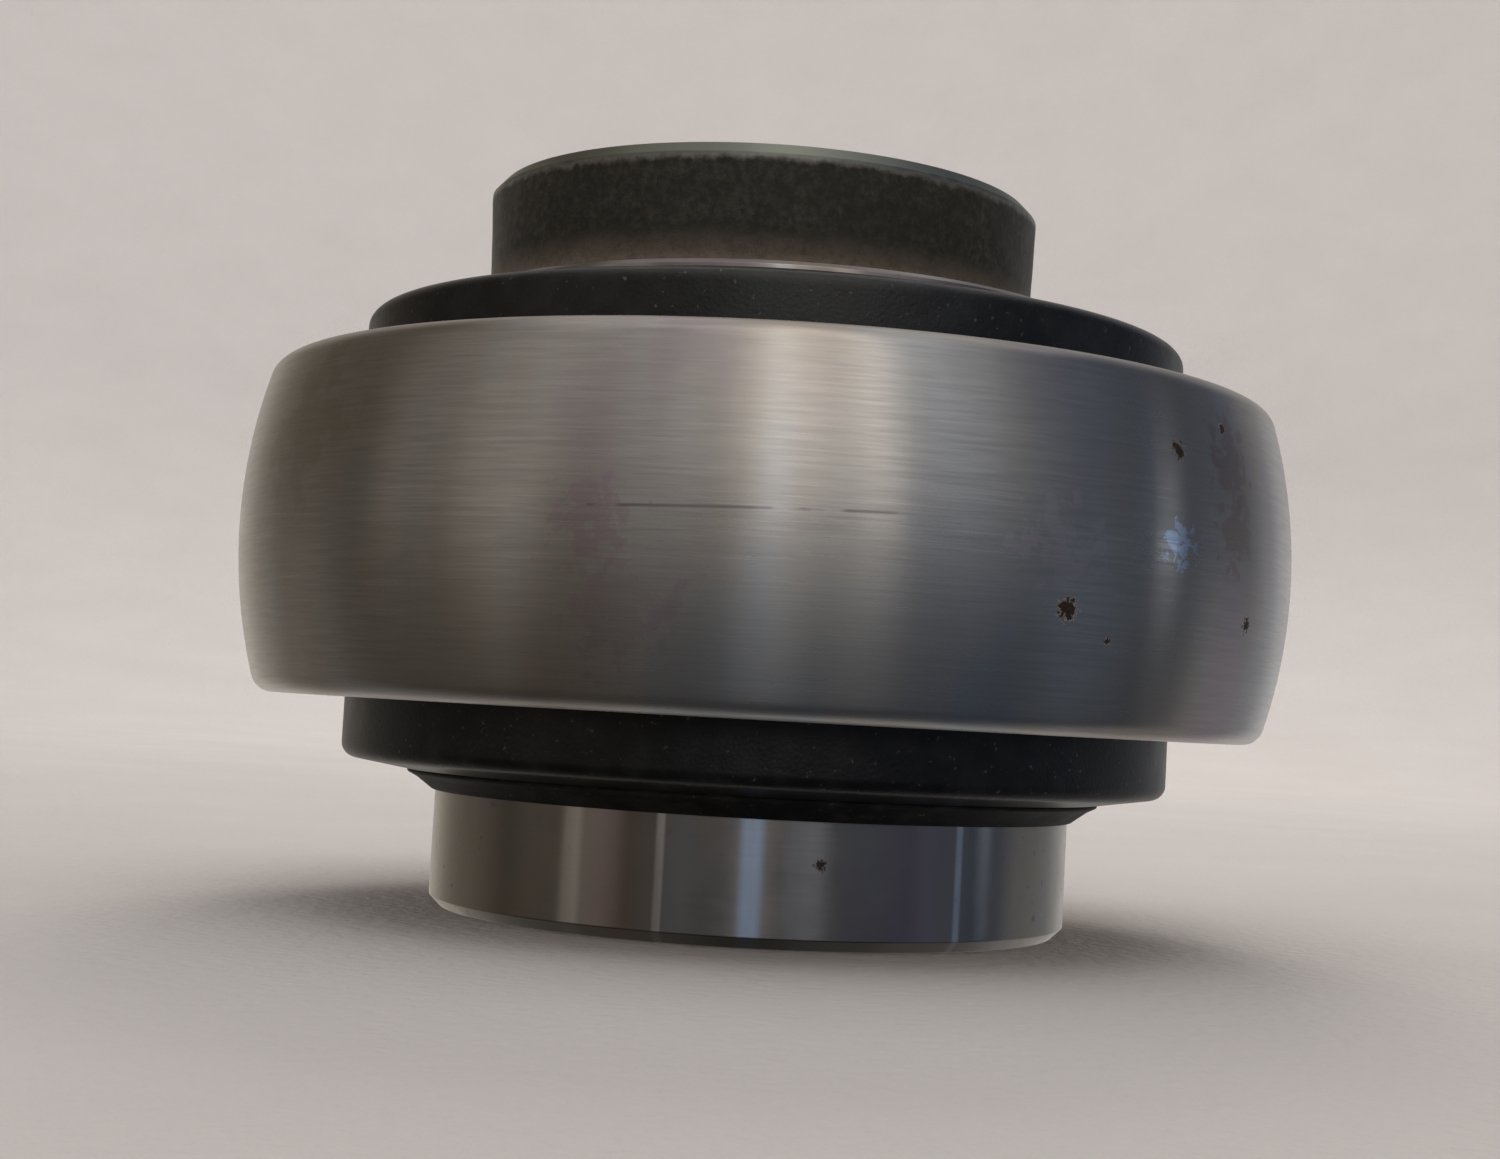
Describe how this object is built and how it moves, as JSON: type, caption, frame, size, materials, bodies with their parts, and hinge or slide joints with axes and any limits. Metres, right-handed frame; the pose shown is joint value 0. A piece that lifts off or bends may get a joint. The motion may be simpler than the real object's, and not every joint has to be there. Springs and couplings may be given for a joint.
{
  "type": "cam follower bearing",
  "caption": "Sealed ball bearing roller with a spherical outer ring, a wide inner ring and an eccentric locking cam.",
  "frame": {"origin": "centre of the spherical outer surface, on the bearing axis, half way between the two end faces of the inner ring", "axes": "+Z along the bearing axis towards the eccentric locking cam; the cam's centre is offset towards -X"},
  "size_m": [0.04, 0.04, 0.0276],
  "materials": {
    "ground_steel": "ground round the axis, worn, with a few rust pits",
    "ring_steel": "ground land with light patina, dark heat-treatment scale on the cam",
    "ball_steel": "polished",
    "cage_steel": "pressed sheet steel",
    "rivet_steel": "bright, headed cold",
    "seal_black": "black, satin, with specks of dirt",
    "seal_rubber": "matt, slightly greasy",
    "backing_steel": "plain pressed washer"
  },
  "bodies": {
    "inner": {"inner_ring": "ring_steel"},
    "outer": {"outer_ring": "ground_steel", "seal_shroud_cam_end": "seal_black", "seal_lip_cam_end": "seal_rubber", "seal_backing_cam_end": "backing_steel", "seal_shroud_plain_end": "seal_black", "seal_lip_plain_end": "seal_rubber", "seal_backing_plain_end": "backing_steel"},
    "cage": {"cage_half_cam_end": "cage_steel", "cage_half_plain_end": "cage_steel", "cage_rivet_1": "rivet_steel", "cage_rivet_2": "rivet_steel", "cage_rivet_3": "rivet_steel", "cage_rivet_4": "rivet_steel", "cage_rivet_5": "rivet_steel", "cage_rivet_6": "rivet_steel", "cage_rivet_7": "rivet_steel", "cage_rivet_8": "rivet_steel"},
    "ball_body_1": {"ball_1": "ball_steel"},
    "ball_body_2": {"ball_2": "ball_steel"},
    "ball_body_3": {"ball_3": "ball_steel"},
    "ball_body_4": {"ball_4": "ball_steel"},
    "ball_body_5": {"ball_5": "ball_steel"},
    "ball_body_6": {"ball_6": "ball_steel"},
    "ball_body_7": {"ball_7": "ball_steel"},
    "ball_body_8": {"ball_8": "ball_steel"}
  },
  "joints": [
    {"name": "outer_spin", "type": "hinge", "parent": "inner", "child": "outer", "pos_m": [0, 0, 0], "axis": [0, 0, 1], "continuous": true},
    {"name": "cage_orbit", "type": "hinge", "parent": "inner", "child": "cage", "pos_m": [0, 0, 0], "axis": [0, 0, 1], "continuous": true},
    {"name": "ball_1_spin", "type": "hinge", "parent": "cage", "child": "ball_body_1", "pos_m": [0.01435, 0, 0], "axis": [0, 0, 1], "continuous": true},
    {"name": "ball_2_spin", "type": "hinge", "parent": "cage", "child": "ball_body_2", "pos_m": [0.01015, 0.01015, 0], "axis": [0, 0, 1], "continuous": true},
    {"name": "ball_3_spin", "type": "hinge", "parent": "cage", "child": "ball_body_3", "pos_m": [0, 0.01435, 0], "axis": [0, 0, 1], "continuous": true},
    {"name": "ball_4_spin", "type": "hinge", "parent": "cage", "child": "ball_body_4", "pos_m": [-0.01015, 0.01015, 0], "axis": [0, 0, 1], "continuous": true},
    {"name": "ball_5_spin", "type": "hinge", "parent": "cage", "child": "ball_body_5", "pos_m": [-0.01435, 0, 0], "axis": [0, 0, 1], "continuous": true},
    {"name": "ball_6_spin", "type": "hinge", "parent": "cage", "child": "ball_body_6", "pos_m": [-0.01015, -0.01015, 0], "axis": [0, 0, 1], "continuous": true},
    {"name": "ball_7_spin", "type": "hinge", "parent": "cage", "child": "ball_body_7", "pos_m": [0, -0.01435, 0], "axis": [0, 0, 1], "continuous": true},
    {"name": "ball_8_spin", "type": "hinge", "parent": "cage", "child": "ball_body_8", "pos_m": [0.01015, -0.01015, 0], "axis": [0, 0, 1], "continuous": true}
  ],
  "couplings": [
    {"joint": "cage_orbit", "follows": "outer_spin", "ratio": 0.61754},
    {"joint": "ball_1_spin", "follows": "outer_spin", "ratio": 2.0093},
    {"joint": "ball_2_spin", "follows": "outer_spin", "ratio": 2.0093},
    {"joint": "ball_3_spin", "follows": "outer_spin", "ratio": 2.0093},
    {"joint": "ball_4_spin", "follows": "outer_spin", "ratio": 2.0093},
    {"joint": "ball_5_spin", "follows": "outer_spin", "ratio": 2.0093},
    {"joint": "ball_6_spin", "follows": "outer_spin", "ratio": 2.0093},
    {"joint": "ball_7_spin", "follows": "outer_spin", "ratio": 2.0093},
    {"joint": "ball_8_spin", "follows": "outer_spin", "ratio": 2.0093}
  ]
}
